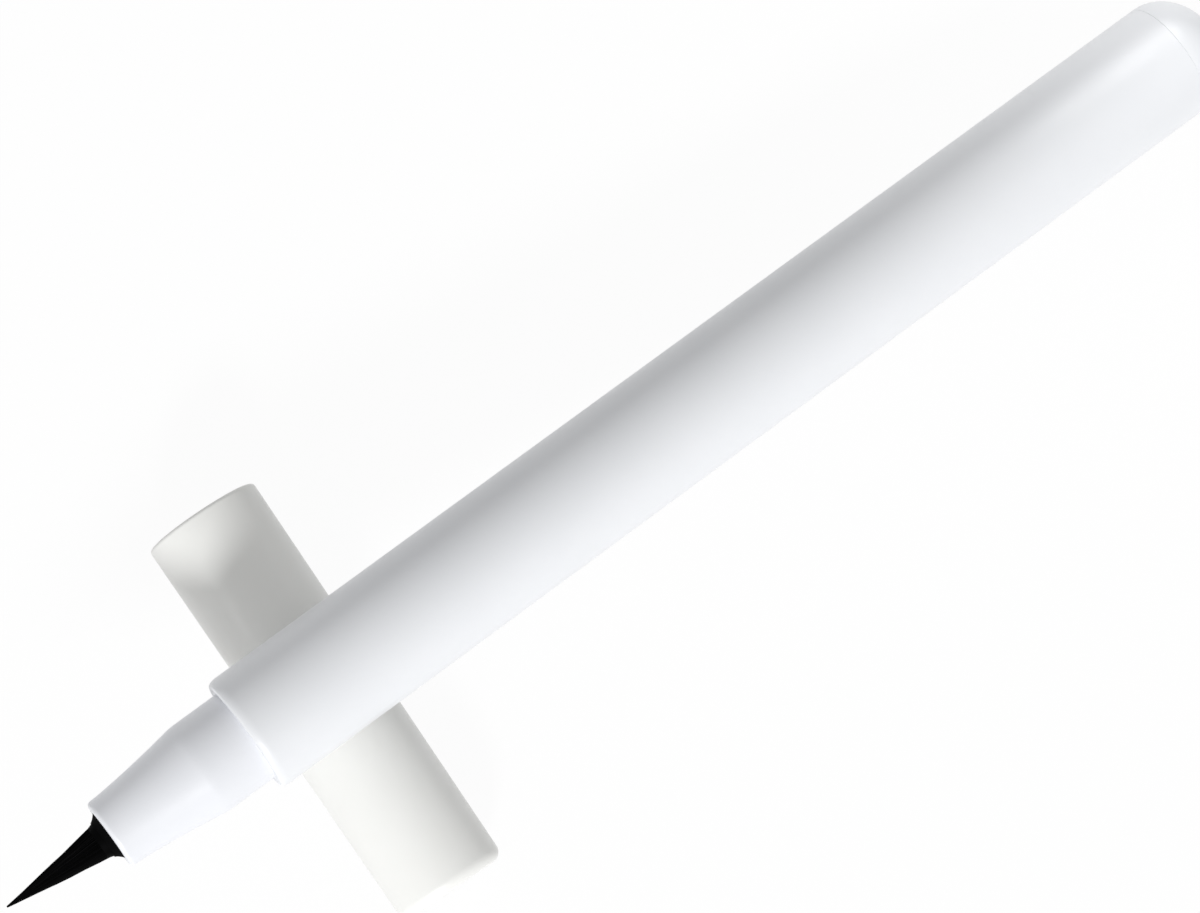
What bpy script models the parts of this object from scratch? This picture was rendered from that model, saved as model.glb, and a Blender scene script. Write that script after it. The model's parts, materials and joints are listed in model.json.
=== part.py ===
"""Liquid eyeliner pen with a brush tip, lying across its own cap.

A white barrel holds an inner ink tank with a mixing ball. A comb collector, a fibre feed rod
and a fused bristle brush carry the ink forward through the nose. The cap is off: it lies on
the table and the front of the barrel rests on it, with the tail on the table.

Metres, +Z up. The origin is on the table below the middle of the whole part, +X runs towards
the tail of the pen and +Y towards the open mouth of the cap. Each turned piece is drawn as
(radius, height) points in the frame of its own axis. On the pen, height is measured from the
barrel's front shoulder towards the brush; on the cap, from the closed end towards the mouth.
"""

import bpy
import bmesh
from math import acos, atan2, cos, hypot, pi, radians, sin, sqrt
from mathutils import Matrix, Vector

# Barrel and tail
BARREL_DIAMETER = 0.0105
BARREL_LENGTH = 0.0978
BARREL_WALL = 0.0007
BARREL_FRONT_ROUNDING = 0.00035
TAIL_LENGTH = 0.0046
TAIL_ROUNDING = 0.0036
TAIL_SPIGOT_LENGTH = 0.0045
TAIL_SPIGOT_WALL = 0.0008
TAIL_FLOOR = 0.0016

# Nose in front of the shoulder, and its spigot behind it
NECK_CLEARANCE = 0.0002
NECK_LENGTH = 0.0046
NOSE_LENGTH = 0.0136
NOSE_TAPER = 0.0010
NOSE_TAPER_POWER = 1.4
NOSE_FRONT_ROUNDING = 0.0004
NOSE_FLANGE_LENGTH = 0.0014
NOSE_SPIGOT_LENGTH = 0.0078
NOSE_SPIGOT_WALL = 0.0010
NOSE_BORE = 0.0041
SEAL_GROOVE_DEPTH = 0.0005
SEAL_GROOVE_WIDTH = 0.0008
SEAL_GROOVE_SETBACK = 0.0026

# Brush, its collar in the mouth of the nose, and the holder behind it
COLLAR_DEPTH = 0.0038
COLLAR_FLANGE_THICKNESS = 0.0004
COLLAR_STEP = 0.0002
COLLAR_FLARE_LENGTH = 0.0006
COLLAR_FLARE_POWER = 1.4
COLLAR_LIP = 0.00006
BRUSH_DIAMETER = 0.0032
BRUSH_REACH = 0.0093
BRUSH_FLANGE_THICKNESS = 0.0008
BRISTLE_COUNT = 300
BRISTLE_WIDTH = 0.00013
BRISTLE_BURIED_LENGTH = 0.0004
HOLDER_CHAMBER = 0.0021
HOLDER_GROOVE_WIDTH = 0.0008
HOLDER_GROOVE_DEPTH = 0.0005
HOLDER_GROOVE_COUNT = 3

# Ink tank, comb collector, stopper, feed rod and mixing ball
TANK_WALL = 0.0009
TANK_END_WALL = 0.0012
ROD_DIAMETER = 0.0015
ROD_IN_BRUSH = 0.0030
ROD_IN_TANK = 0.0060
COLLECTOR_CORE_DIAMETER = 0.0034
COLLECTOR_SPIGOT_LENGTH = 0.0070
COLLECTOR_DISC_THICKNESS = 0.0012
COLLECTOR_FIN_COUNT = 16
COLLECTOR_FIN_THICKNESS = 0.0005
COLLECTOR_FRONT_GAP = 0.0008
COLLECTOR_REAR_GAP = 0.0013
COLLECTOR_FIN_CLEARANCE = 0.0001
COLLECTOR_FEED_SLOT = 0.0005
COLLECTOR_VENT_WIDTH = 0.0010
COLLECTOR_VENT_DEPTH = 0.0007
COLLECTOR_TAIL_LENGTH = 0.0018
STOPPER_LENGTH = 0.0045
STOPPER_RIB_HEIGHT = 0.00015
STOPPER_RIB_LENGTH = 0.0007
BALL_DIAMETER = 0.0040

# Cap and the inner cap that seals the nose
CAP_LENGTH = 0.0380
CAP_END_DIAMETER = 0.01004
CAP_END_ROUNDING = 0.0010
CAP_END_WALL = 0.0012
CAP_MOUTH_ROUNDING = 0.00035
CAP_MOUTH_WALL = 0.0009
CAP_LOWER_WALL = 0.0012
SNAP_RING_HEIGHT = 0.0001
SNAP_RING_LENGTH = 0.0008
SNAP_RING_DEPTH = 0.0022
INNER_CAP_WALL = 0.0008
INNER_CAP_FLOOR = 0.0010
BRUSH_TIP_ROOM = 0.0020

# Where the barrel lies across the cap
SHOULDER_TO_CROSSING = 0.0081
MOUTH_TO_CROSSING = 0.0178
PEN_YAW = radians(2.35)

# Clearances and the overrun of every cut
FIT_GAP = 0.00005
END_GAP = 0.0001
REST_GAP = 0.0003
CUT_OVERRUN = 0.0005
MERGE_DISTANCE = 0.000001

# Facets
TURN_STEPS = 40
COMB_STEPS = 20
ARC_STEPS = 5
TAIL_ARC_STEPS = 8
TAPER_STEPS = 6
SMOOTH_ANGLE = radians(35)

# Outline of the brush: share of its reach beyond the collar, share of its root radius
BRUSH_OUTLINE_SHARES = ((0.0, 0.98), (0.5, 0.5), (1.0, 0.04))
BRISTLE_STAGGER_SHARE = 0.22
GOLDEN_SHARE = (sqrt(5) - 1) / 2

# Radii that follow from the sizes above
barrel_radius = BARREL_DIAMETER / 2
barrel_bore = barrel_radius - BARREL_WALL
tank_radius = barrel_bore - FIT_GAP
tank_bore = tank_radius - TANK_WALL
inside_tank_radius = tank_bore - FIT_GAP
cap_mouth_radius = barrel_radius
cap_bore = cap_mouth_radius - CAP_MOUTH_WALL
neck_radius = cap_bore - NECK_CLEARANCE
nose_front_radius = neck_radius - NOSE_TAPER
nose_bore = NOSE_BORE / 2
nose_rear_bore = inside_tank_radius - NOSE_SPIGOT_WALL
inside_nose_radius = nose_bore - FIT_GAP
collar_flange_radius = inside_nose_radius + COLLAR_STEP
collar_mouth_radius = collar_flange_radius + FIT_GAP
brush_radius = BRUSH_DIAMETER / 2
collar_bore = brush_radius + FIT_GAP
rod_radius = ROD_DIAMETER / 2
rod_bore = rod_radius + FIT_GAP

# Heights along the pen, from the shoulder towards the brush
flange_top = -END_GAP
flange_bottom = flange_top - NOSE_FLANGE_LENGTH
nose_bottom = flange_bottom - NOSE_SPIGOT_LENGTH
comb_top = nose_bottom - END_GAP
collector_top = comb_top + COLLECTOR_SPIGOT_LENGTH
nose_rear_bore_top = collector_top + END_GAP
collar_bottom = NOSE_LENGTH - COLLAR_DEPTH
collar_top = NOSE_LENGTH + COLLAR_FLARE_LENGTH
brush_root_top = NOSE_LENGTH + COLLAR_FLARE_LENGTH / 2
brush_tip = collar_top + BRUSH_REACH
brush_flange_top = collar_bottom - END_GAP
brush_root_bottom = brush_flange_top - BRUSH_FLANGE_THICKNESS
holder_top = brush_root_bottom - END_GAP
holder_bottom = nose_rear_bore_top + HOLDER_CHAMBER
barrel_bottom = -BARREL_LENGTH
tail_top = barrel_bottom - END_GAP
tail_bottom = barrel_bottom - TAIL_LENGTH
spigot_top = tail_top + TAIL_SPIGOT_LENGTH
tank_top = flange_bottom - END_GAP
tank_bottom = spigot_top + END_GAP
tank_floor = tank_bottom + TANK_END_WALL
rod_top = brush_root_bottom + ROD_IN_BRUSH - END_GAP

# More cap radii, and heights along the cap from its closed end
cap_end_radius = CAP_END_DIAMETER / 2
cap_lower_bore = cap_end_radius - CAP_LOWER_WALL
inner_cap_radius = cap_bore - FIT_GAP
inner_cap_bore = inner_cap_radius - INNER_CAP_WALL
cone_length = NOSE_LENGTH - NOSE_FRONT_ROUNDING - NECK_LENGTH
cone_share_left = 1 - (neck_radius - inner_cap_bore) / NOSE_TAPER
seal_depth = NECK_LENGTH + cone_length * (1 - cone_share_left ** (1 / NOSE_TAPER_POWER))
inner_cap_top = CAP_LENGTH - seal_depth
inner_cap_floor = CAP_LENGTH - brush_tip - BRUSH_TIP_ROOM
inner_cap_bottom = inner_cap_floor - INNER_CAP_FLOOR
cap_step = inner_cap_bottom - END_GAP


def new_collection(name):
    collection = bpy.data.collections.new(name)
    bpy.context.scene.collection.children.link(collection)
    return collection


def clear_scene():
    for old in list(bpy.data.objects):
        bpy.data.objects.remove(old, do_unlink=True)


def material(name, colour, roughness, metallic=0.0):
    made = bpy.data.materials.new(name)
    made.use_nodes = True
    shader = made.node_tree.nodes["Principled BSDF"]
    shader.inputs["Base Color"].default_value = (*colour, 1.0)
    shader.inputs["Roughness"].default_value = roughness
    shader.inputs["Metallic"].default_value = metallic
    return made


def arc(centre_radius, centre_height, radius, start, end, steps=ARC_STEPS):
    """Points of an arc, with angles in degrees from the outward radius towards the top."""
    points = []
    for step in range(steps + 1):
        angle = radians(start + (end - start) * step / steps)
        points.append((centre_radius + radius * cos(angle), centre_height + radius * sin(angle)))
    return points


def rounded_top(radius, height, rounding):
    return arc(radius - rounding, height - rounding, rounding, 90, 0)


def rounded_bottom(radius, height, rounding, steps=ARC_STEPS):
    return arc(radius - rounding, height + rounding, rounding, 0, -90, steps)


def turned(name, profile, look, axis, closed=False, steps=TURN_STEPS):
    """A profile turned round its axis: a closed loop for a ring, an open line from axis to axis."""
    mesh = bpy.data.meshes.new(name)
    points = [(radius, 0.0, height) for radius, height in profile]
    edges = [(index, index + 1) for index in range(len(points) - 1)]
    if closed:
        edges.append((len(points) - 1, 0))
    mesh.from_pydata(points, edges, [])
    piece = bpy.data.objects.new(name, mesh)
    parts.objects.link(piece)
    piece.parent = axis
    screw = piece.modifiers.new("Turn", "SCREW")
    screw.axis = "Z"
    screw.angle = 2 * pi
    screw.steps = steps
    screw.render_steps = steps
    screw.use_merge_vertices = True
    screw.merge_threshold = MERGE_DISTANCE
    piece.data.materials.append(look)
    return piece


def box_cutter(name, centre, size, axis, turn=0.0):
    """A block that cuts a groove; turn swings it round the axis that it is parented to."""
    bpy.ops.mesh.primitive_cube_add(size=1.0)
    cutter = bpy.context.object
    cutter.name = name
    place = Matrix.Rotation(turn, 4, "Z") @ Matrix.Translation(centre) @ Matrix.Diagonal((*size, 1.0))
    cutter.data.transform(place)
    for collection in list(cutter.users_collection):
        collection.objects.unlink(cutter)
    cutters.objects.link(cutter)
    cutter.parent = axis
    cutter.hide_render = True
    cutter.display_type = "WIRE"
    return cutter


def boolean(piece, tool, operation):
    step = piece.modifiers.new(tool.name, "BOOLEAN")
    step.operation = operation
    step.solver = "EXACT"
    step.object = tool


def shade_round(piece):
    """Bakes the piece's modifiers and shades it smooth, with its true edges kept sharp."""
    bpy.context.view_layer.update()
    evaluated = piece.evaluated_get(bpy.context.evaluated_depsgraph_get())
    mesh = bpy.data.meshes.new_from_object(evaluated)
    mesh.name = piece.name
    piece.modifiers.clear()
    piece.data = mesh
    mesh.shade_smooth()
    mesh.set_sharp_from_angle(angle=SMOOTH_ANGLE)


def make_barrel(axis):
    front = rounded_top(barrel_radius, 0.0, BARREL_FRONT_ROUNDING)
    profile = front + [
        (barrel_radius, barrel_bottom),
        (barrel_bore, barrel_bottom),
        (barrel_bore, 0.0),
    ]
    return turned("barrel", profile, white_plastic, axis, closed=True)


def make_tail_plug(axis):
    spigot_radius = barrel_bore - FIT_GAP
    spigot_bore = spigot_radius - TAIL_SPIGOT_WALL
    floor = tail_bottom + TAIL_FLOOR
    profile = [
        (0.0, floor),
        (spigot_bore, floor),
        (spigot_bore, spigot_top),
        (spigot_radius, spigot_top),
        (spigot_radius, tail_top),
    ]
    profile += [(barrel_radius, tail_top)]
    profile += rounded_bottom(barrel_radius, tail_bottom, TAIL_ROUNDING, TAIL_ARC_STEPS)
    profile += [(0.0, tail_bottom)]
    return turned("tail_plug", profile, white_plastic, axis)


def on_cone(share):
    """Point of the nose's outline, at a share of the way from its neck to its front rounding."""
    drop = NOSE_TAPER * (1 - (1 - share) ** NOSE_TAPER_POWER)
    return neck_radius - drop, NECK_LENGTH + cone_length * share


def make_nose(axis):
    spigot_radius = inside_tank_radius
    groove_top = flange_bottom - SEAL_GROOVE_SETBACK
    groove_bottom = groove_top - SEAL_GROOVE_WIDTH
    groove_radius = spigot_radius - SEAL_GROOVE_DEPTH
    mouth_floor = NOSE_LENGTH - COLLAR_FLANGE_THICKNESS - END_GAP
    rim = nose_front_radius - collar_mouth_radius
    profile = rounded_top(nose_front_radius, NOSE_LENGTH, min(NOSE_FRONT_ROUNDING, rim / 2))
    profile += [on_cone(1 - step / TAPER_STEPS) for step in range(1, TAPER_STEPS + 1)]
    profile += [
        (neck_radius, flange_top),
        (tank_radius, flange_top),
        (tank_radius, flange_bottom),
        (spigot_radius, flange_bottom),
        (spigot_radius, groove_top),
        (groove_radius, groove_top),
        (groove_radius, groove_bottom),
        (spigot_radius, groove_bottom),
        (spigot_radius, nose_bottom),
        (nose_rear_bore, nose_bottom),
        (nose_rear_bore, nose_rear_bore_top),
        (nose_bore, nose_rear_bore_top),
        (nose_bore, mouth_floor),
        (collar_mouth_radius, mouth_floor),
        (collar_mouth_radius, NOSE_LENGTH),
    ]
    return turned("nose", profile, white_plastic, axis, closed=True)


def make_nose_seal(axis):
    ring_outer = tank_bore - FIT_GAP / 2
    ring_inner = inside_tank_radius - SEAL_GROOVE_DEPTH + FIT_GAP / 2
    tube_radius = (ring_outer - ring_inner) / 2
    middle = flange_bottom - SEAL_GROOVE_SETBACK - SEAL_GROOVE_WIDTH / 2
    profile = arc((ring_outer + ring_inner) / 2, middle, tube_radius, 90, -270, 2 * ARC_STEPS)[:-1]
    return turned("nose_seal", profile, black_rubber, axis, closed=True)


def make_collar(axis):
    """The black ring in the mouth of the nose, flaring down from the brush to its flange."""
    lip_radius = collar_bore + COLLAR_LIP
    flare_radius = collar_flange_radius - lip_radius
    profile = []
    for step in range(ARC_STEPS + 1):
        share = step / ARC_STEPS
        radius = lip_radius + flare_radius * share**COLLAR_FLARE_POWER
        profile.append((radius, collar_top - COLLAR_FLARE_LENGTH * share))
    flange_floor = NOSE_LENGTH - COLLAR_FLANGE_THICKNESS
    profile += [
        (collar_flange_radius, flange_floor),
        (inside_nose_radius, flange_floor),
        (inside_nose_radius, collar_bottom),
        (collar_bore, collar_bottom),
        (collar_bore, collar_top),
    ]
    return turned("brush_collar", profile, black_plastic, axis, closed=True, steps=COMB_STEPS)


def outline_share(share):
    """Share of the root radius that is left at a share of the brush's reach."""
    stations = BRUSH_OUTLINE_SHARES
    for (start, wide), (end, narrow) in zip(stations, stations[1:]):
        if share <= end:
            return wide + (narrow - wide) * (share - start) / (end - start)
    return stations[-1][1]


def add_bristle(cage, place, turn, end_share):
    """One three-sided bristle: rings at the outline's stations, then its own point.

    Every bristle shrinks towards the axis by the same outline, so none can cross.
    """
    rings = []
    start = brush_root_top - BRISTLE_BURIED_LENGTH
    shares = [share for share, _ in BRUSH_OUTLINE_SHARES if share < end_share]
    for share in shares:
        scale = outline_share(share)
        height = start if share == 0 else brush_root_top + (brush_tip - brush_root_top) * share
        ring = []
        for side in range(3):
            angle = turn + 2 * pi * side / 3
            reach = place + Vector((cos(angle), sin(angle), 0.0)) * BRISTLE_WIDTH / 2
            ring.append(cage.verts.new((reach.x * scale, reach.y * scale, height)))
        rings.append(ring)
    scale = outline_share(end_share)
    height = brush_root_top + (brush_tip - brush_root_top) * end_share
    point = cage.verts.new((place.x * scale, place.y * scale, height))
    cage.faces.new(list(reversed(rings[0])))
    for lower, upper in zip(rings, rings[1:]):
        for side in range(3):
            after = (side + 1) % 3
            cage.faces.new((lower[side], lower[after], upper[after], upper[side]))
    for side in range(3):
        cage.faces.new((rings[-1][side], rings[-1][(side + 1) % 3], point))


def make_brush(axis):
    """The fused root of the tuft with its flange and rod socket, and the bristles on it."""
    flange_radius = inside_nose_radius
    socket_top = brush_root_bottom + ROD_IN_BRUSH
    profile = [
        (0.0, brush_root_top),
        (brush_radius, brush_root_top),
        (brush_radius, brush_flange_top),
        (flange_radius, brush_flange_top),
        (flange_radius, brush_root_bottom),
        (rod_bore, brush_root_bottom),
        (rod_bore, socket_top),
        (0.0, socket_top),
    ]
    brush = turned("brush", profile, bristle_black, axis, steps=COMB_STEPS)

    cage = bmesh.new()
    spread = brush_radius - BRISTLE_WIDTH / 2
    for index in range(BRISTLE_COUNT):
        radius = spread * sqrt((index + 0.5) / BRISTLE_COUNT)
        angle = 2 * pi * GOLDEN_SHARE * index
        place = Vector((radius * cos(angle), radius * sin(angle), 0.0))
        stagger = BRISTLE_STAGGER_SHARE * ((index * GOLDEN_SHARE) % 1.0)
        add_bristle(cage, place, angle, 1.0 - stagger)
    mesh = bpy.data.meshes.new("bristles")
    cage.to_mesh(mesh)
    cage.free()
    bristles = bpy.data.objects.new("bristles", mesh)
    cutters.objects.link(bristles)
    bristles.parent = axis
    bristles.hide_render = True
    bristles.display_type = "WIRE"
    boolean(brush, bristles, "UNION")
    return brush


def make_holder(axis):
    """The sleeve behind the brush, with air grooves along its outside."""
    profile = [
        (inside_nose_radius, holder_top),
        (inside_nose_radius, holder_bottom),
        (rod_bore, holder_bottom),
        (rod_bore, holder_top),
    ]
    holder = turned("brush_holder", profile, white_plastic, axis, closed=True, steps=COMB_STEPS)
    length = holder_top - holder_bottom + 2 * CUT_OVERRUN
    depth = HOLDER_GROOVE_DEPTH + CUT_OVERRUN
    centre = (inside_nose_radius - HOLDER_GROOVE_DEPTH + depth / 2, 0.0, (holder_top + holder_bottom) / 2)
    for index in range(HOLDER_GROOVE_COUNT):
        turn = 2 * pi * index / HOLDER_GROOVE_COUNT
        size = (depth, HOLDER_GROOVE_WIDTH, length)
        boolean(holder, box_cutter(f"holder_groove_{index + 1}", centre, size, axis, turn), "DIFFERENCE")
    return holder


def comb_gap(index):
    """Width of the slit behind a fin: the slits widen from the brush towards the tank."""
    share = index / (COLLECTOR_FIN_COUNT - 1)
    return COLLECTOR_FRONT_GAP + (COLLECTOR_REAR_GAP - COLLECTOR_FRONT_GAP) * share


comb_length = COLLECTOR_FIN_COUNT * COLLECTOR_FIN_THICKNESS
comb_length += sum(comb_gap(index) for index in range(COLLECTOR_FIN_COUNT))
comb_bottom = comb_top - COLLECTOR_DISC_THICKNESS - comb_length
collector_bottom = comb_bottom - COLLECTOR_DISC_THICKNESS
stopper_top = collector_bottom - END_GAP
stopper_bottom = stopper_top - STOPPER_LENGTH
rod_bottom = stopper_bottom - ROD_IN_TANK


def make_collector(axis):
    """The comb that buffers the ink: graded fins on a bored core, a feed slot and an air notch."""
    core = COLLECTOR_CORE_DIAMETER / 2
    fin = tank_bore - COLLECTOR_FIN_CLEARANCE
    spigot = nose_rear_bore - FIT_GAP
    profile = [
        (spigot, collector_top),
        (spigot, comb_top),
        (fin, comb_top),
        (fin, comb_top - COLLECTOR_DISC_THICKNESS),
    ]
    height = comb_top - COLLECTOR_DISC_THICKNESS
    for index in range(COLLECTOR_FIN_COUNT):
        top = height - comb_gap(index)
        bottom = top - COLLECTOR_FIN_THICKNESS
        profile += [(core, height), (core, top), (fin, top), (fin, bottom)]
        height = bottom
    profile += [
        (fin, collector_bottom),
        (core, collector_bottom),
        (core, collector_bottom - COLLECTOR_TAIL_LENGTH),
        (rod_bore, collector_bottom - COLLECTOR_TAIL_LENGTH),
        (rod_bore, collector_top),
    ]
    collector = turned("collector", profile, clear_plastic, axis, closed=True, steps=COMB_STEPS)

    slot_top = comb_top - COLLECTOR_DISC_THICKNESS
    slot_bottom = comb_bottom
    slot_reach = fin + CUT_OVERRUN
    slot_size = (slot_reach, COLLECTOR_FEED_SLOT, slot_top - slot_bottom)
    slot_centre = (slot_reach / 2, 0.0, (slot_top + slot_bottom) / 2)
    boolean(collector, box_cutter("feed_slot", slot_centre, slot_size, axis, pi / COMB_STEPS), "DIFFERENCE")

    vent_depth = COLLECTOR_VENT_DEPTH + CUT_OVERRUN
    vent_top = comb_top + CUT_OVERRUN
    vent_size = (vent_depth, COLLECTOR_VENT_WIDTH, vent_top - slot_bottom)
    vent_centre = (fin - COLLECTOR_VENT_DEPTH + vent_depth / 2, 0.0, (vent_top + slot_bottom) / 2)
    boolean(collector, box_cutter("air_notch", vent_centre, vent_size, axis, pi), "DIFFERENCE")
    return collector


def make_stopper(axis):
    """The plug between collector and tank: two sealing ribs, a rod bore, a socket in front."""
    rib = tank_bore - FIT_GAP
    body = rib - STOPPER_RIB_HEIGHT
    socket = COLLECTOR_CORE_DIAMETER / 2 + FIT_GAP
    socket_floor = collector_bottom - COLLECTOR_TAIL_LENGTH - END_GAP
    profile = [
        (rib, stopper_top),
        (rib, stopper_top - STOPPER_RIB_LENGTH),
        (body, stopper_top - STOPPER_RIB_LENGTH),
        (body, stopper_bottom + STOPPER_RIB_LENGTH),
        (rib, stopper_bottom + STOPPER_RIB_LENGTH),
        (rib, stopper_bottom),
        (rod_bore, stopper_bottom),
        (rod_bore, socket_floor),
        (socket, socket_floor),
        (socket, stopper_top),
    ]
    return turned("tank_stopper", profile, clear_plastic, axis, closed=True)


def make_rod(axis):
    profile = [(0.0, rod_top), (rod_radius, rod_top), (rod_radius, rod_bottom), (0.0, rod_bottom)]
    return turned("feed_rod", profile, fibre, axis, steps=COMB_STEPS)


def make_tank(axis):
    profile = [
        (0.0, tank_floor),
        (tank_bore, tank_floor),
        (tank_bore, tank_top),
        (tank_radius, tank_top),
        (tank_radius, tank_bottom),
        (0.0, tank_bottom),
    ]
    return turned("ink_tank", profile, clear_plastic, axis)


def make_ball(axis):
    """The loose steel ball, on the low wall of the tank and against its tail end."""
    radius = BALL_DIAMETER / 2
    bpy.ops.mesh.primitive_uv_sphere_add(segments=COMB_STEPS, ring_count=COMB_STEPS // 2, radius=radius)
    ball = bpy.context.object
    ball.name = "mixing_ball"
    for collection in list(ball.users_collection):
        collection.objects.unlink(ball)
    parts.objects.link(ball)
    ball.parent = axis
    ball.location = (tank_bore - radius - FIT_GAP, 0.0, tank_floor + radius + END_GAP)
    ball.data.materials.append(steel)
    return ball


def make_cap_shell(axis):
    ring_height = CAP_LENGTH - SNAP_RING_DEPTH
    profile = rounded_top(cap_mouth_radius, CAP_LENGTH, CAP_MOUTH_ROUNDING)
    profile += rounded_bottom(cap_end_radius, 0.0, CAP_END_ROUNDING)
    profile += [(0.0, 0.0)]
    bore = [
        (0.0, CAP_END_WALL),
        (cap_lower_bore, CAP_END_WALL),
        (cap_lower_bore, cap_step),
        (cap_bore, cap_step),
        (cap_bore, ring_height - SNAP_RING_LENGTH / 2),
        (cap_bore - SNAP_RING_HEIGHT, ring_height),
        (cap_bore, ring_height + SNAP_RING_LENGTH / 2),
        (cap_bore, CAP_LENGTH),
    ]
    return turned("cap_shell", bore + profile, white_plastic, axis)


def make_inner_cap(axis):
    profile = [
        (0.0, inner_cap_floor),
        (inner_cap_bore, inner_cap_floor),
        (inner_cap_bore, inner_cap_top),
        (inner_cap_radius, inner_cap_top),
        (inner_cap_radius, inner_cap_bottom),
        (0.0, inner_cap_bottom),
    ]
    return turned("inner_cap", profile, clear_plastic, axis)


def lying_pose():
    """Frames of the pen and the cap: the barrel on the cap, the tail's rounding on the table."""
    draft = cap_mouth_radius - cap_end_radius
    crossing_radius = cap_mouth_radius - draft * MOUTH_TO_CROSSING / CAP_LENGTH
    pen_length = BARREL_LENGTH + TAIL_LENGTH
    span = pen_length - TAIL_ROUNDING - SHOULDER_TO_CROSSING
    rise = crossing_radius + REST_GAP + TAIL_ROUNDING
    drop = TAIL_ROUNDING - cap_mouth_radius
    pitch = acos(drop / hypot(rise, span)) - atan2(span, rise)

    towards_tail = Vector((cos(pitch) * cos(PEN_YAW), cos(pitch) * sin(PEN_YAW), -sin(pitch)))
    cap_axis = Vector((0.0, 1.0, 0.0))
    upright = towards_tail.cross(cap_axis).normalized()
    crossing = Vector((0.0, CAP_LENGTH / 2 - MOUTH_TO_CROSSING, cap_mouth_radius))
    on_pen_axis = crossing + upright * (barrel_radius + crossing_radius + REST_GAP)
    shoulder = on_pen_axis - towards_tail * SHOULDER_TO_CROSSING

    # The whole part is centred between the brush tip and the far side of the tail's rounding
    tip = shoulder - towards_tail * brush_tip
    rounding_centre = shoulder + towards_tail * (pen_length - TAIL_ROUNDING)
    tail_end = rounding_centre.x + upright.x * (barrel_radius - TAIL_ROUNDING) + TAIL_ROUNDING
    middle = Vector(((tip.x + tail_end) / 2, 0.0, 0.0))

    down = towards_tail.cross(towards_tail.cross(Vector((0.0, 0.0, 1.0)))).normalized()
    towards_brush = -towards_tail
    side = towards_brush.cross(down)
    pen_turn = Matrix((down, side, towards_brush)).transposed()
    cap_turn = Matrix.Rotation(-pi / 2, 3, "X")
    cap_end = Vector((0.0, -CAP_LENGTH / 2, cap_mouth_radius))
    pen_frame = Matrix.Translation(shoulder - middle) @ pen_turn.to_4x4()
    cap_frame = Matrix.Translation(cap_end - middle) @ cap_turn.to_4x4()
    return pen_frame, cap_frame


def axis_empty(name, frame):
    empty = bpy.data.objects.new(name, None)
    parts.objects.link(empty)
    empty.matrix_world = frame
    return empty


clear_scene()
parts = new_collection("liquid_eyeliner_pen")
cutters = new_collection("cutters")

white_plastic = material("white_plastic", (0.83, 0.84, 0.85), 0.34)
clear_plastic = material("natural_plastic", (0.72, 0.73, 0.70), 0.30)
black_plastic = material("black_plastic", (0.02, 0.02, 0.02), 0.45)
bristle_black = material("inked_bristle", (0.008, 0.008, 0.009), 0.55)
black_rubber = material("black_rubber", (0.03, 0.03, 0.03), 0.80)
fibre = material("fibre", (0.05, 0.05, 0.05), 0.90)
steel = material("steel", (0.60, 0.60, 0.60), 0.20, metallic=1.0)

pen_frame, cap_frame = lying_pose()
pen_axis = axis_empty("pen_axis", pen_frame)
cap_axis = axis_empty("cap_axis", cap_frame)

made = [
    make_barrel(pen_axis),
    make_tail_plug(pen_axis),
    make_nose(pen_axis),
    make_nose_seal(pen_axis),
    make_collar(pen_axis),
    make_brush(pen_axis),
    make_holder(pen_axis),
    make_collector(pen_axis),
    make_stopper(pen_axis),
    make_rod(pen_axis),
    make_tank(pen_axis),
    make_ball(pen_axis),
    make_cap_shell(cap_axis),
    make_inner_cap(cap_axis),
]
for piece in made:
    shade_round(piece)
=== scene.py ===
import json
from math import cos, pi, radians, sin, sqrt

import bmesh
import bpy
from mathutils import Euler, Matrix, Vector


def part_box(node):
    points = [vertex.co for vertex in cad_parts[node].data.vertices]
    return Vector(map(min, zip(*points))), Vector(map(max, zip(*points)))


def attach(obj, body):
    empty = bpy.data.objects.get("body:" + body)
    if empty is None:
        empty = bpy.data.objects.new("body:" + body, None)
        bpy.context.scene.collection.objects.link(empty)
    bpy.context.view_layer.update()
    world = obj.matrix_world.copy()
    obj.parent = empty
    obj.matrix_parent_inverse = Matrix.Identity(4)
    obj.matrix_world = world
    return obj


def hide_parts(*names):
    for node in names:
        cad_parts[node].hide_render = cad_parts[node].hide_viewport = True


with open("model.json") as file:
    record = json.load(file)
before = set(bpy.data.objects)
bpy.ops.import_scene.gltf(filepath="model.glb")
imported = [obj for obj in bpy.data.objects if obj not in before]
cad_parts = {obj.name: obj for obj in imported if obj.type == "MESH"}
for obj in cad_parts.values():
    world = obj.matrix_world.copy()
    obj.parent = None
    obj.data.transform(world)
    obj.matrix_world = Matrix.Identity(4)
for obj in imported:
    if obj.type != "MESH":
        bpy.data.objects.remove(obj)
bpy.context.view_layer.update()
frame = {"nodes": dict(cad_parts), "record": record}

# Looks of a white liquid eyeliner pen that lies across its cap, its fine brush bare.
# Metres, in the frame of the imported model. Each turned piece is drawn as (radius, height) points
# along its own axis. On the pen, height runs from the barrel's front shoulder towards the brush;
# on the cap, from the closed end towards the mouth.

# Barrel and tail
BARREL_DIAMETER = 0.0105
BARREL_LENGTH = 0.0978
BARREL_WALL = 0.0007
BARREL_FRONT_ROUNDING = 0.00035
BARREL_FRONT_ROUNDING_LENGTH = 0.00085
TAIL_LENGTH = 0.0046
TAIL_DOME_LENGTH = 0.0044
TAIL_SEAM_ROUNDING = 0.00002
TAIL_SEAM_GAP = 0.00001
TAIL_SPIGOT_LENGTH = 0.0045
TAIL_SPIGOT_WALL = 0.0008
TAIL_FLOOR = 0.0016

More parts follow.
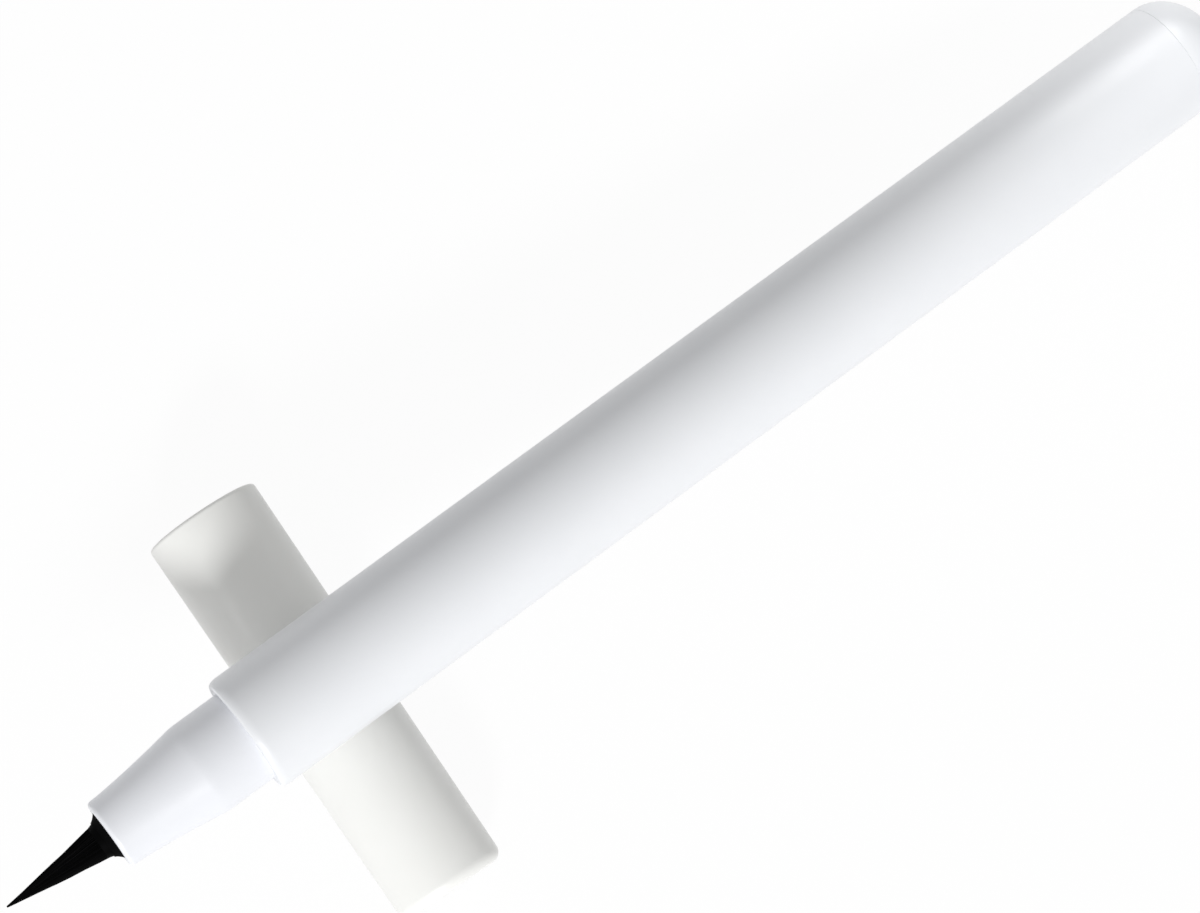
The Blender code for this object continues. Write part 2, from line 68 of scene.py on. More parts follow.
# Nose
NECK_CLEARANCE = 0.0002
NECK_LENGTH = 0.0046
NECK_BLEND = 0.0012
NOSE_LENGTH = 0.0136
NOSE_TAPER = 0.0010
NOSE_TAPER_POWER = 1.4
NOSE_TAPER_STEPS = 24
NOSE_SEAM_GAP = 0.000015
NOSE_FRONT_ROUNDING = 0.0004
NOSE_FLANGE_LENGTH = 0.0014
NOSE_SPIGOT_LENGTH = 0.0078
NOSE_SPIGOT_WALL = 0.0010
NOSE_BORE = 0.0041
NOSE_REAR_BORE_TOP = -0.0023
SEAL_GROOVE_DEPTH = 0.0005
SEAL_GROOVE_WIDTH = 0.0008
SEAL_GROOVE_SETBACK = 0.0026
TANK_WALL = 0.0009

# Collar and brush
COLLAR_DEPTH = 0.0038
COLLAR_FLANGE_THICKNESS = 0.0004
COLLAR_STEP = 0.0002
COLLAR_FLARE_LENGTH = 0.0006
COLLAR_FLARE_POWER = 1.4
COLLAR_FLARE_STEPS = 12
COLLAR_LIP = 0.00004
BRUSH_DIAMETER = 0.0032
BRUSH_REACH = 0.0093
BRUSH_FOOT_LENGTH = 0.0005
BRUSH_FLANGE_THICKNESS = 0.0008
BRUSH_LEAN = 0.0002
ROD_SOCKET_DIAMETER = 0.0016
ROD_SOCKET_DEPTH = 0.0030
STRAND_COUNT = 760
STRAND_WIDTH = 0.00010
STRAND_WANDER = 0.000035
STRAND_RINGS = 8
STRAND_SIDES = 4
STRAND_SEED = 11

# Cap and inner cup
CAP_END_DIAMETER = 0.01004
CAP_END_ROUNDING = 0.0010
CAP_END_WALL = 0.0012
CAP_MOUTH_ROUNDING = 0.00035
CAP_MOUTH_WALL = 0.0009
CAP_LOWER_WALL = 0.0012
CAP_STEP_HEIGHT = 0.0114
SNAP_RING_HEIGHT = 0.0001
SNAP_RING_LENGTH = 0.0008
SNAP_RING_DEPTH = 0.0022
CUP_WALL = 0.0008
CUP_FLOOR = 0.0010
CUP_LENGTH = 0.017363
CUP_LIP_ROUNDING = 0.0002

# Clearances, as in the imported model, and the fineness of the turned pieces
FIT_GAP = 0.00005
END_GAP = 0.0001
MERGE_DISTANCE = 0.000001
TURN_STEPS = 144
ARC_STEPS = 8
TAIL_ARC_STEPS = 32
SMOOTH_ANGLE = radians(35)

# Outlines of the tuft and its foot: share of their length, share of their root radius
TUFT_OUTLINE_SHARES = ((0.0, 1.0), (0.3, 0.705), (0.6, 0.405), (0.85, 0.16), (1.0, 0.02))
FOOT_OUTLINE_SHARES = ((0.0, 1.0), (0.3, 0.965), (0.6, 0.94), (1.0, 0.9))
TUFT_ROOT_SHARE = 0.965
STRAND_SHORTEST_SHARE = 0.84
STRAND_TIP_WIDTH_SHARE = 0.3
GOLDEN_SHARE = (sqrt(5) - 1) / 2

# Finishes: noise scales in cycles to the metre, sheens as a roughness at either end of the noise,
# bumps as a strength and a depth
NOISE_ROUGHNESS = 0.55
NOISE_SPAN = (0.3, 0.7)
PLAIN_DETAIL = 2.0
FINE_DETAIL = 3.0
PLASTIC_IOR = 1.49
WHITE_ROUGHNESS = 0.36
WHITE_CLOUD_SCALE = 140.0
WHITE_SHEEN_SCALE = 420.0
WHITE_SHEEN = (0.32, 0.42)
WHITE_FLOW_SCALE = 900.0
WHITE_SKIN_SCALE = 7000.0
WHITE_BUMP = (0.25, 0.000006)
FLOW_SHARES = (1.0, 1.0, 0.05)
FLOW_HEIGHT_SHARE = 0.5
MILKY_ROUGHNESS = 0.38
MILKY_CLOUD_SCALE = 260.0
MILKY_SKIN_SCALE = 2500.0
MILKY_BUMP = (0.3, 0.00001)
MILKY_DEPTH = 0.0012
MILKY_SPREAD = (1.0, 0.95, 0.85)
MILKY_DARK_SHARE = 0.93
DARK_CLOUD_SCALE = 600.0
DARK_SHEEN_SCALE = 900.0
DARK_BUMP = (0.35, 0.00001)
INK_LIGHT = (0.0020, 0.0020, 0.0022)
INK_DARK = (0.0006, 0.0006, 0.0007)
INK_SHEEN = (0.6, 0.4)
INK_SKIN_SCALE = 9000.0
INK_BUMP = (0.3, 0.000004)

# Camera of the photograph, from above the pen
CAMERA_PLACE = (-0.02377, -0.01977, 0.35427)
CAMERA_TURN = (radians(5.2825), radians(-0.7690), radians(-34.4206))
CAMERA_LENS_MM = 123.78
SENSOR_WIDTH_MM = 36.0

# Light: a soft key low in front of the pen, small fills by the tail and the nose, an even sky
KEY_HEADING = radians(-123.8)
KEY_HEIGHT_ANGLE = radians(37.6)
KEY_DISTANCE = 2.0
KEY_SIZE = 0.40
KEY_WATTS = 29.1
TAIL_FILL_PLACE = (0.069, 0.022, 0.030)
TAIL_FILL_SIZE = 0.02
TAIL_FILL_WATTS = 0.0041
NOSE_FILL_PLACE = (-0.068, 0.016, 0.040)
NOSE_FILL_TARGET = (-0.047, 0.001, 0.018)
NOSE_FILL_SIZE = 0.012
NOSE_FILL_WATTS = 0.0008
SKY_STRENGTH = 0.485
FLOOR_SIZE = 4.0
FLOOR_COLOUR = (0.90, 0.90, 0.90, 1.0)
FLOOR_GLOW_SHARE = 0.95
PURE_WHITE = (1.0, 1.0, 1.0, 1.0)


# Frames of the pen and the cap

def mount(name):
    """Place and outward direction of one of the record's mounts."""
    found = next(row for row in frame["record"]["mounts"] if row["name"] == name)
    return Vector(found["pos_m"]), Vector(found["axis"]).normalized()


def axis_frame(start, along, down):
    """Frame with its Z along a piece's axis and its X as near as it can be to down."""
    across = along.cross(down).normalized()
    turn = Matrix((across.cross(along), across, along)).transposed()
    return Matrix.Translation(start) @ turn.to_4x4()


DOWN = Vector((0.0, 0.0, -1.0))
tail_place, tail_direction = mount("tail_face")
cap_place, cap_direction = mount("cap_end_face")
pen_length = BARREL_LENGTH + TAIL_LENGTH
pen_frame = axis_frame(tail_place - tail_direction * pen_length, -tail_direction, DOWN)
cap_frame = axis_frame(cap_place, -cap_direction, DOWN)
cap_low, cap_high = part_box("cap_shell")
cap_length = cap_high.y - cap_low.y

# Radii and heights that follow from the sizes above
barrel_radius = BARREL_DIAMETER / 2
barrel_bore = barrel_radius - BARREL_WALL
tank_radius = barrel_bore - FIT_GAP
tank_bore = tank_radius - TANK_WALL
spigot_radius = tank_bore - FIT_GAP
cap_bore = barrel_radius - CAP_MOUTH_WALL
cap_end_radius = CAP_END_DIAMETER / 2
cap_lower_bore = cap_end_radius - CAP_LOWER_WALL
neck_radius = cap_bore - NECK_CLEARANCE
nose_front_radius = neck_radius - NOSE_TAPER
nose_bore = NOSE_BORE / 2
collar_radius = nose_bore - FIT_GAP
collar_flange_radius = collar_radius + COLLAR_STEP
collar_mouth_radius = collar_flange_radius + FIT_GAP
brush_radius = BRUSH_DIAMETER / 2
collar_bore = brush_radius + FIT_GAP
cup_radius = cap_bore - FIT_GAP
cup_bore = cup_radius - CUP_WALL
barrel_bottom = -BARREL_LENGTH
tail_bottom = barrel_bottom - TAIL_LENGTH
collar_bottom = NOSE_LENGTH - COLLAR_DEPTH
collar_top = NOSE_LENGTH + COLLAR_FLARE_LENGTH
tuft_root = collar_top
tuft_radius = brush_radius * TUFT_ROOT_SHARE
cup_bottom = CAP_STEP_HEIGHT + END_GAP


# Meshes

def arc(centre_radius, centre_height, radius, start, end, steps=ARC_STEPS):
    """Points of an arc, with angles in degrees from the outward radius towards the top."""
    points = []
    for step in range(steps + 1):
        angle = radians(start + (end - start) * step / steps)
        points.append((centre_radius + radius * cos(angle), centre_height + radius * sin(angle)))
    return points


def rounded_top(radius, height, rounding, steps=ARC_STEPS):
    return arc(radius - rounding, height - rounding, rounding, 90, 0, steps)


def rounded_bottom(radius, height, rounding):
    return arc(radius - rounding, height + rounding, rounding, 0, -90)


def blend(before, corner, after, steps=ARC_STEPS):
    """A smooth bend from one point to another in place of the corner between them."""
    points = []
    for step in range(steps + 1):
        share = step / steps
        weights = ((1 - share) ** 2, 2 * share * (1 - share), share**2)
        ends = (before, corner, after)
        points.append(tuple(sum(w * end[i] for w, end in zip(weights, ends)) for i in range(2)))
    return points


def list_by_corners(cage):
    """Lists edges and faces by their corners, because spin lists them anew on each run."""
    cage.verts.index_update()
    for parts in (cage.edges, cage.faces):
        ranked = sorted(parts, key=lambda part: sorted(corner.index for corner in part.verts))
        for rank, part in enumerate(ranked):
            part.index = rank
        parts.sort()


def turned_cage(outline, closed=False):
    """An outline turned round the Z axis: a closed loop for a ring, an open line for a plug."""
    cage = bmesh.new()
    line = [cage.verts.new((radius, 0.0, height)) for radius, height in outline]
    edges = [cage.edges.new(pair) for pair in zip(line, line[1:])]
    if closed:
        edges.append(cage.edges.new((line[-1], line[0])))
    bmesh.ops.spin(
        cage, geom=line + edges, axis=(0, 0, 1), cent=(0, 0, 0), angle=2 * pi, steps=TURN_STEPS
    )
    bmesh.ops.remove_doubles(cage, verts=cage.verts, dist=MERGE_DISTANCE)
    list_by_corners(cage)
    bmesh.ops.recalc_face_normals(cage, faces=cage.faces)
    return cage


def piece(name, cage, place, look, body, slot, *nodes):
    """Turns a cage into a finished piece that stands for CAD nodes and rides on their body."""
    cage.transform(place)
    mesh = bpy.data.meshes.new(name)
    cage.to_mesh(mesh)
    cage.free()
    mesh.shade_smooth()
    mesh.set_sharp_from_angle(angle=SMOOTH_ANGLE)
    made = bpy.data.objects.new(name, mesh)
    bpy.context.scene.collection.objects.link(made)
    made.data.materials.append(look)
    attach(made, body)
    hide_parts(*nodes)
    return made


# Finishes

class Wiring:
    """Adds nodes to a tree, with each input set or linked by its name or number."""

    def __init__(self, tree):
        self.tree = tree

    def add(self, kind, inputs=None, **settings):
        node = self.tree.nodes.new(kind)
        for name, value in settings.items():
            setattr(node, name, value)
        for name, value in (inputs or {}).items():
            self.feed(value, node.inputs[name])
        return node

    def feed(self, value, socket):
        if isinstance(value, bpy.types.NodeSocket):
            self.tree.links.new(value, socket)
        else:
            socket.default_value = value

    def math(self, operation, *values):
        inputs = dict(enumerate(values))
        return self.add("ShaderNodeMath", inputs, operation=operation).outputs[0]


def finish(name, colour, roughness, **settings):
    """A Principled material and the wiring to add detail to it."""
    made = bpy.data.materials.new(name)
    made.use_nodes = True
    shader = made.node_tree.nodes["Principled BSDF"]
    shader.inputs["Base Color"].default_value = (*colour, 1.0)
    shader.inputs["Roughness"].default_value = roughness
    for setting, value in settings.items():
        shader.inputs[setting.replace("_", " ")].default_value = value
    return made, Wiring(made.node_tree), shader


def drawn_out(wiring, frame_of_piece):
    """Object coordinates turned to a piece's axis and drawn out along it."""
    place = wiring.add("ShaderNodeTexCoord").outputs["Object"]
    turn = frame_of_piece.to_3x3().inverted().to_euler()
    turned = wiring.add("ShaderNodeMapping", {"Vector": place, "Rotation": turn}).outputs[0]
    return wiring.add("ShaderNodeMapping", {"Vector": turned, "Scale": FLOW_SHARES}).outputs[0]


def noise(wiring, scale, detail=PLAIN_DETAIL, place=None):
    """Noise over the piece's own coordinates, or the place given; scale is cycles to the metre."""
    if place is None:
        place = wiring.add("ShaderNodeTexCoord").outputs["Object"]
    inputs = {"Vector": place, "Scale": scale, "Detail": detail, "Roughness": NOISE_ROUGHNESS}
    return wiring.add("ShaderNodeTexNoise", inputs).outputs["Fac"]


def between(wiring, share, low, high):
    """Spreads a noise over the range from low to high."""
    least, most = NOISE_SPAN
    inputs = {"Value": share, "From Min": least, "From Max": most, "To Min": low, "To Max": high}
    return wiring.add("ShaderNodeMapRange", inputs).outputs["Result"]


def shade_mix(wiring, share, dark, light):
    """Two close shades of one colour, mixed by a share."""
    inputs = {0: share, 6: (*dark, 1.0), 7: (*light, 1.0)}
    return wiring.add("ShaderNodeMix", inputs, data_type="RGBA").outputs[2]


def clouded(wiring, shader, scale, dark, light):
    """Lets the colour drift between two shades."""
    cloud = between(wiring, noise(wiring, scale, FINE_DETAIL), 0.0, 1.0)
    wiring.feed(shade_mix(wiring, cloud, dark, light), shader.inputs["Base Color"])


def bumped(wiring, shader, height, bump):
    """Raises a fine relief from a height."""
    strength, depth = bump
    inputs = {"Height": height, "Strength": strength, "Distance": depth}
    relief = wiring.add("ShaderNodeBump", inputs).outputs["Normal"]
    wiring.feed(relief, shader.inputs["Normal"])


def moulded_white(name, light, dark, frame_of_piece):
    """Smooth moulded plastic: faint clouding, a soft sheen that wanders, a very fine skin."""
    made, wiring, shader = finish(
        name, light, WHITE_ROUGHNESS, Specular_IOR_Level=0.5, IOR=PLASTIC_IOR
    )
    clouded(wiring, shader, WHITE_CLOUD_SCALE, dark, light)
    sheen = between(wiring, noise(wiring, WHITE_SHEEN_SCALE, FINE_DETAIL), *WHITE_SHEEN)
    wiring.feed(sheen, shader.inputs["Roughness"])
    flow = noise(wiring, WHITE_FLOW_SCALE, place=drawn_out(wiring, frame_of_piece))
    skin = noise(wiring, WHITE_SKIN_SCALE)
    height = wiring.math("MULTIPLY_ADD", flow, FLOW_HEIGHT_SHARE, skin)
    bumped(wiring, shader, height, WHITE_BUMP)
    return made


def milky_plastic(name, colour):
    """Unpainted translucent moulding, a little cloudy."""
    made, wiring, shader = finish(
        name, colour, MILKY_ROUGHNESS, Subsurface_Weight=0.35, Subsurface_Scale=MILKY_DEPTH,
        IOR=PLASTIC_IOR,
    )
    shader.inputs["Subsurface Radius"].default_value = MILKY_SPREAD
    dark = tuple(channel * MILKY_DARK_SHARE for channel in colour)
    clouded(wiring, shader, MILKY_CLOUD_SCALE, dark, colour)
    bumped(wiring, shader, noise(wiring, MILKY_SKIN_SCALE), MILKY_BUMP)
    return made


def dark_finish(name, light, dark, sheen, grain, **settings):
    """Black plastic, rubber, fibre or steel: two shades, a wandering sheen and a grain."""
    smoothest, roughest = sheen
    made, wiring, shader = finish(name, light, roughest, **settings)
    clouded(wiring, shader, DARK_CLOUD_SCALE, dark, light)
    gloss = between(wiring, noise(wiring, DARK_SHEEN_SCALE), smoothest, roughest)
    wiring.feed(gloss, shader.inputs["Roughness"])
    bumped(wiring, shader, noise(wiring, grain, FINE_DETAIL), DARK_BUMP)
    return made


def inked_fibre(name):
    """Fine fibres wet with ink: each strand has its own depth of black and its own gloss."""
    made, wiring, shader = finish(name, (0.002, 0.002, 0.002), 0.5, Specular_IOR_Level=0.02)
    strand = wiring.add("ShaderNodeAttribute", attribute_name="strand").outputs["Fac"]
    wiring.feed(shade_mix(wiring, strand, INK_DARK, INK_LIGHT), shader.inputs["Base Color"])
    roughest, smoothest = INK_SHEEN
    inputs = {"Value": strand, "To Min": roughest, "To Max": smoothest}
    gloss = wiring.add("ShaderNodeMapRange", inputs).outputs["Result"]
    wiring.feed(gloss, shader.inputs["Roughness"])
    bumped(wiring, shader, noise(wiring, INK_SKIN_SCALE), INK_BUMP)
    return made


pen_white = moulded_white("pen_white", (0.763, 0.775, 0.797), (0.749, 0.762, 0.785), pen_frame)
nose_white = moulded_white("nose_white", (0.757, 0.769, 0.802), (0.743, 0.756, 0.790), pen_frame)
cap_white = moulded_white("cap_white", (0.828, 0.830, 0.808), (0.814, 0.815, 0.791), cap_frame)
natural_plastic = milky_plastic("natural_plastic", (0.72, 0.73, 0.70))
collar_black = dark_finish(
    "collar_black", (0.0024, 0.0024, 0.0025), (0.0014, 0.0014, 0.0015), (0.62, 0.75), 5000.0,
    Specular_IOR_Level=0.012,
)
seal_rubber = dark_finish("seal_rubber", (0.03, 0.03, 0.03), (0.02, 0.02, 0.02), (0.7, 0.85), 4000.0)
wick_fibre = dark_finish("wick_fibre", (0.06, 0.06, 0.06), (0.03, 0.03, 0.03), (0.8, 0.95), 9000.0)
ball_steel = dark_finish(
    "ball_steel", (0.62, 0.62, 0.62), (0.57, 0.57, 0.58), (0.14, 0.24), 3000.0, Metallic=1.0
)
brush_ink = inked_fibre("brush_ink")


# The pen's outer pieces

def make_barrel():
    """The sleeve, whose front edge is rounded further along the pen than across its wall."""
    stretch = BARREL_FRONT_ROUNDING_LENGTH / BARREL_FRONT_ROUNDING
    outline = rounded_top(barrel_radius, 0.0, BARREL_FRONT_ROUNDING, 2 * ARC_STEPS)
    outline = [(radius, height * stretch) for radius, height in outline]
    outline += rounded_bottom(barrel_radius, barrel_bottom, TAIL_SEAM_ROUNDING)
    outline += [(barrel_bore, barrel_bottom), (barrel_bore, 0.0)]
    return piece(
        "barrel_sleeve", turned_cage(outline, closed=True), pen_frame, pen_white, "pen",
        "white_plastic", "barrel",
    )


def make_tail():
    """The plug whose outside is half an ellipsoid below a short straight band."""
    spigot = barrel_bore - FIT_GAP
    bore = spigot - TAIL_SPIGOT_WALL
    top = barrel_bottom - TAIL_SEAM_GAP
    floor = tail_bottom + TAIL_FLOOR
    spigot_top = barrel_bottom - END_GAP + TAIL_SPIGOT_LENGTH
    outline = [(0.0, floor), (bore, floor), (bore, spigot_top), (spigot, spigot_top), (spigot, top)]
    outline += rounded_top(barrel_radius, top, TAIL_SEAM_ROUNDING)
    for step in range(TAIL_ARC_STEPS):
        turn = radians(90 * step / TAIL_ARC_STEPS)
        outline.append((barrel_radius * cos(turn), tail_bottom + TAIL_DOME_LENGTH * (1 - sin(turn))))
    outline += [(0.0, tail_bottom)]
    return piece(
        "tail_dome", turned_cage(outline), pen_frame, pen_white, "pen", "white_plastic", "tail_plug"
    )


def tapered(share):
    """Point of the nose's outline at a share of the way from its neck to its front rounding."""
    taper_length = NOSE_LENGTH - NOSE_FRONT_ROUNDING - NECK_LENGTH
    drop = NOSE_TAPER * (1 - (1 - share) ** NOSE_TAPER_POWER)
    return neck_radius - drop, NECK_LENGTH + taper_length * share


def make_nose():
    flange_top = -NOSE_SEAM_GAP
    flange_radius = barrel_bore - NOSE_SEAM_GAP
    flange_bottom = -END_GAP - NOSE_FLANGE_LENGTH
    spigot_bottom = flange_bottom - NOSE_SPIGOT_LENGTH
    groove_top = flange_bottom - SEAL_GROOVE_SETBACK
    groove_bottom = groove_top - SEAL_GROOVE_WIDTH
    groove_radius = spigot_radius - SEAL_GROOVE_DEPTH
    rear_bore = spigot_radius - NOSE_SPIGOT_WALL
    mouth_floor = NOSE_LENGTH - COLLAR_FLANGE_THICKNESS - END_GAP
    outline = rounded_top(nose_front_radius, NOSE_LENGTH, NOSE_FRONT_ROUNDING)
    for step in range(1, NOSE_TAPER_STEPS):
        outline.append(tapered(1 - step / NOSE_TAPER_STEPS))
    outline += blend(outline[-1], tapered(0), (neck_radius, NECK_LENGTH - NECK_BLEND / 2))
    outline += [
        (neck_radius, flange_top),
        (flange_radius, flange_top),
        (flange_radius, flange_bottom),
        (spigot_radius, flange_bottom),
        (spigot_radius, groove_top),
        (groove_radius, groove_top),
        (groove_radius, groove_bottom),
        (spigot_radius, groove_bottom),
        (spigot_radius, spigot_bottom),
        (rear_bore, spigot_bottom),
        (rear_bore, NOSE_REAR_BORE_TOP),
        (nose_bore, NOSE_REAR_BORE_TOP),
        (nose_bore, mouth_floor),
        (collar_mouth_radius, mouth_floor),
        (collar_mouth_radius, NOSE_LENGTH),
    ]
    return piece(
        "nose_cone", turned_cage(outline, closed=True), pen_frame, nose_white, "pen",
        "white_plastic", "nose",
    )


def make_collar():
    """The black ring that flares from the brush down to its flange in the mouth of the nose."""
    lip_radius = collar_bore + COLLAR_LIP
    flare = collar_flange_radius - lip_radius
    outline = []
    for step in range(COLLAR_FLARE_STEPS + 1):
        share = step / COLLAR_FLARE_STEPS
        radius = lip_radius + flare * share**COLLAR_FLARE_POWER
        outline.append((radius, collar_top - COLLAR_FLARE_LENGTH * share))
    flange_floor = NOSE_LENGTH - COLLAR_FLANGE_THICKNESS
    outline += [
        (collar_flange_radius, flange_floor),
        (collar_radius, flange_floor),
        (collar_radius, collar_bottom),
        (collar_bore, collar_bottom),
        (collar_bore, collar_top),
    ]
    return piece(
        "collar_ring", turned_cage(outline, closed=True), pen_frame, collar_black, "pen",
        "black_plastic", "brush_collar",
    )


# The brush

def stored(wiring, geometry, name, kind, value):
    inputs = {"Geometry": geometry, "Name": name, "Value": value}
    return wiring.add("GeometryNodeStoreNamedAttribute", inputs, data_type=kind).outputs[0]


def recalled(wiring, name, kind):
    return wiring.add("GeometryNodeInputNamedAttribute", {"Name": name}, data_type=kind).outputs[0]


def draw_outline(curve):
    """Sets a float curve to the outline of the tuft."""
    curve.points[0].location = TUFT_OUTLINE_SHARES[0]
    curve.points[-1].location = TUFT_OUTLINE_SHARES[-1]
    for place in TUFT_OUTLINE_SHARES[1:-1]:
        curve.points.new(*place)


def tuft_tree():
    """Geometry nodes of the tuft: strands on a sunflower disc, drawn in to one leaning point."""
    tree = bpy.data.node_groups.new("bristle_tuft", "GeometryNodeTree")
    face = tree.interface
    face.new_socket("Geometry", in_out="OUTPUT", socket_type="NodeSocketGeometry")
    for name, kind in (
        ("Strands", "NodeSocketInt"),
        ("Root radius", "NodeSocketFloat"),
        ("Reach", "NodeSocketFloat"),
        ("Strand width", "NodeSocketFloat"),
        ("Wander", "NodeSocketFloat"),
        ("Lean", "NodeSocketFloat"),
        ("Rings", "NodeSocketInt"),
        ("Sides", "NodeSocketInt"),
        ("Seed", "NodeSocketInt"),
        ("Finish", "NodeSocketMaterial"),
    ):
        face.new_socket(name, in_out="INPUT", socket_type=kind)
    wiring = Wiring(tree)
    given = wiring.add("NodeGroupInput").outputs
    index = wiring.add("GeometryNodeInputIndex").outputs["Index"]

    # Root of each strand
    ordinal = wiring.math("ADD", index, 0.5)
    spread = wiring.math("SQRT", wiring.math("DIVIDE", ordinal, given["Strands"]))
    radius = wiring.math("MULTIPLY", spread, given["Root radius"])
    angle = wiring.math("MULTIPLY", index, 2 * pi * GOLDEN_SHARE)
    across = wiring.math("MULTIPLY", radius, wiring.math("COSINE", angle))
    aside = wiring.math("MULTIPLY", radius, wiring.math("SINE", angle))
    root = wiring.add("ShaderNodeCombineXYZ", {"X": across, "Y": aside}).outputs[0]
    points = wiring.add("GeometryNodePoints", {"Count": given["Strands"], "Position": root}).outputs[0]
    strand = wiring.add(
        "FunctionNodeRandomValue", {2: 0.0, 3: 1.0, "Seed": given["Seed"]}, data_type="FLOAT"
    ).outputs[1]
    points = stored(wiring, points, "root", "FLOAT_VECTOR", root)
    points = stored(wiring, points, "strand", "FLOAT", strand)

    # One straight line for each strand
    line = wiring.add("GeometryNodeCurvePrimitiveLine", {"End": (0.0, 0.0, 1.0)}).outputs[0]
    line = wiring.add("GeometryNodeResampleCurve", {"Curve": line, "Count": given["Rings"]}).outputs[0]
    lines = wiring.add("GeometryNodeInstanceOnPoints", {"Points": points, "Instance": line}).outputs[0]
    lines = wiring.add("GeometryNodeRealizeInstances", {"Geometry": lines}).outputs[0]

    # Its shape: drawn in by the outline, cut to its own length, leaning with the tip
    along = wiring.add("GeometryNodeSplineParameter").outputs["Factor"]
    own = recalled(wiring, "strand", "FLOAT")
    length = wiring.add(
        "ShaderNodeMapRange", {"Value": own, "To Min": STRAND_SHORTEST_SHARE, "To Max": 1.0}
    ).outputs["Result"]
    share = wiring.math("MULTIPLY", along, length)
    outline = wiring.add("ShaderNodeFloatCurve", {"Value": share})
    draw_outline(outline.mapping.curves[0])
    drawn = wiring.add(
        "ShaderNodeVectorMath",
        {0: recalled(wiring, "root", "FLOAT_VECTOR"), "Scale": outline.outputs[0]},
        operation="SCALE",
    ).outputs[0]
    height = wiring.math("MULTIPLY", share, given["Reach"])
    leaning = wiring.math("MULTIPLY", wiring.math("POWER", share, 2.0), given["Lean"])
    rise = wiring.add("ShaderNodeCombineXYZ", {"Y": leaning, "Z": height}).outputs[0]
    wild = wiring.add(
        "FunctionNodeRandomValue",
        {0: (-1.0, -1.0, 0.0), 1: (1.0, 1.0, 0.0), "Seed": given["Seed"]},
        data_type="FLOAT_VECTOR",
    ).outputs[0]
    arch = wiring.math("SINE", wiring.math("MULTIPLY", along, pi))
    bow = wiring.math("MULTIPLY", arch, given["Wander"])
    wild = wiring.add("ShaderNodeVectorMath", {0: wild, "Scale": bow}, operation="SCALE").outputs[0]
    place = wiring.add("ShaderNodeVectorMath", {0: drawn, 1: rise}, operation="ADD").outputs[0]
    place = wiring.add("ShaderNodeVectorMath", {0: place, 1: wild}, operation="ADD").outputs[0]
    lines = wiring.add("GeometryNodeSetPosition", {"Geometry": lines, "Position": place}).outputs[0]

    # Its thickness
    thinning = wiring.add(
        "ShaderNodeMapRange", {"Value": along, "To Min": 1.0, "To Max": STRAND_TIP_WIDTH_SHARE}
    ).outputs["Result"]
    lines = wiring.add("GeometryNodeSetCurveRadius", {"Curve": lines, "Radius": thinning}).outputs[0]
    half = wiring.math("DIVIDE", given["Strand width"], 2.0)
    ring = wiring.add(
        "GeometryNodeCurvePrimitiveCircle", {"Resolution": given["Sides"], "Radius": half}
    ).outputs[0]
    tubes = wiring.add(
        "GeometryNodeCurveToMesh", {"Curve": lines, "Profile Curve": ring, "Fill Caps": True}
    ).outputs[0]
    tubes = wiring.add("GeometryNodeRealizeInstances", {"Geometry": tubes}).outputs[0]
    tubes = wiring.add(
        "GeometryNodeSetMaterial", {"Geometry": tubes, "Material": given["Finish"]}
    ).outputs[0]
    wiring.add("NodeGroupOutput", {"Geometry": tubes})
    return tree


def made_by_nodes(name, tree, values):
    """The plain mesh that a tree makes with the values given for its named inputs."""
    holder = bpy.data.objects.new(name, bpy.data.meshes.new(name))
    bpy.context.scene.collection.objects.link(holder)
    step = holder.modifiers.new("Nodes", "NODES")
    step.node_group = tree
    sockets = [item for item in tree.interface.items_tree if item.in_out == "INPUT"]
    for socket in sockets:
        step[socket.identifier] = values[socket.name]
    bpy.context.view_layer.update()
    evaluated = holder.evaluated_get(bpy.context.evaluated_depsgraph_get())
    mesh = bpy.data.meshes.new_from_object(evaluated)
    bpy.data.objects.remove(holder, do_unlink=True)
    return mesh


def make_brush():
    """The fused root behind the collar, and the strands that it carries."""
    flange_top = collar_bottom - END_GAP
    bottom = flange_top - BRUSH_FLANGE_THICKNESS
    socket = ROD_SOCKET_DIAMETER / 2
    outline = [(0.0, tuft_root + BRUSH_FOOT_LENGTH)]
    for height, width in reversed(FOOT_OUTLINE_SHARES):
        outline.append((brush_radius * width, tuft_root + BRUSH_FOOT_LENGTH * height))
    outline += [
        (brush_radius, flange_top),
        (collar_radius, flange_top),
        (collar_radius, bottom),
        (socket, bottom),
        (socket, bottom + ROD_SOCKET_DEPTH),
        (0.0, bottom + ROD_SOCKET_DEPTH),
    ]
    cage = turned_cage(outline)
    strands = made_by_nodes(
        "strands",
        tuft_tree(),
        {
            "Strands": STRAND_COUNT,
            "Root radius": tuft_radius - STRAND_WIDTH / 2,
            "Reach": BRUSH_REACH,
            "Strand width": STRAND_WIDTH,
            "Wander": STRAND_WANDER,
            "Lean": -BRUSH_LEAN,
            "Rings": STRAND_RINGS,
            "Sides": STRAND_SIDES,
            "Seed": STRAND_SEED,
            "Finish": brush_ink,
        },
    )
    strands.transform(Matrix.Translation((0.0, 0.0, tuft_root)))
    cage.from_mesh(strands)
    bpy.data.meshes.remove(strands)
    return piece("brush_tuft", cage, pen_frame, brush_ink, "pen", "inked_bristle", "brush")


# The cap

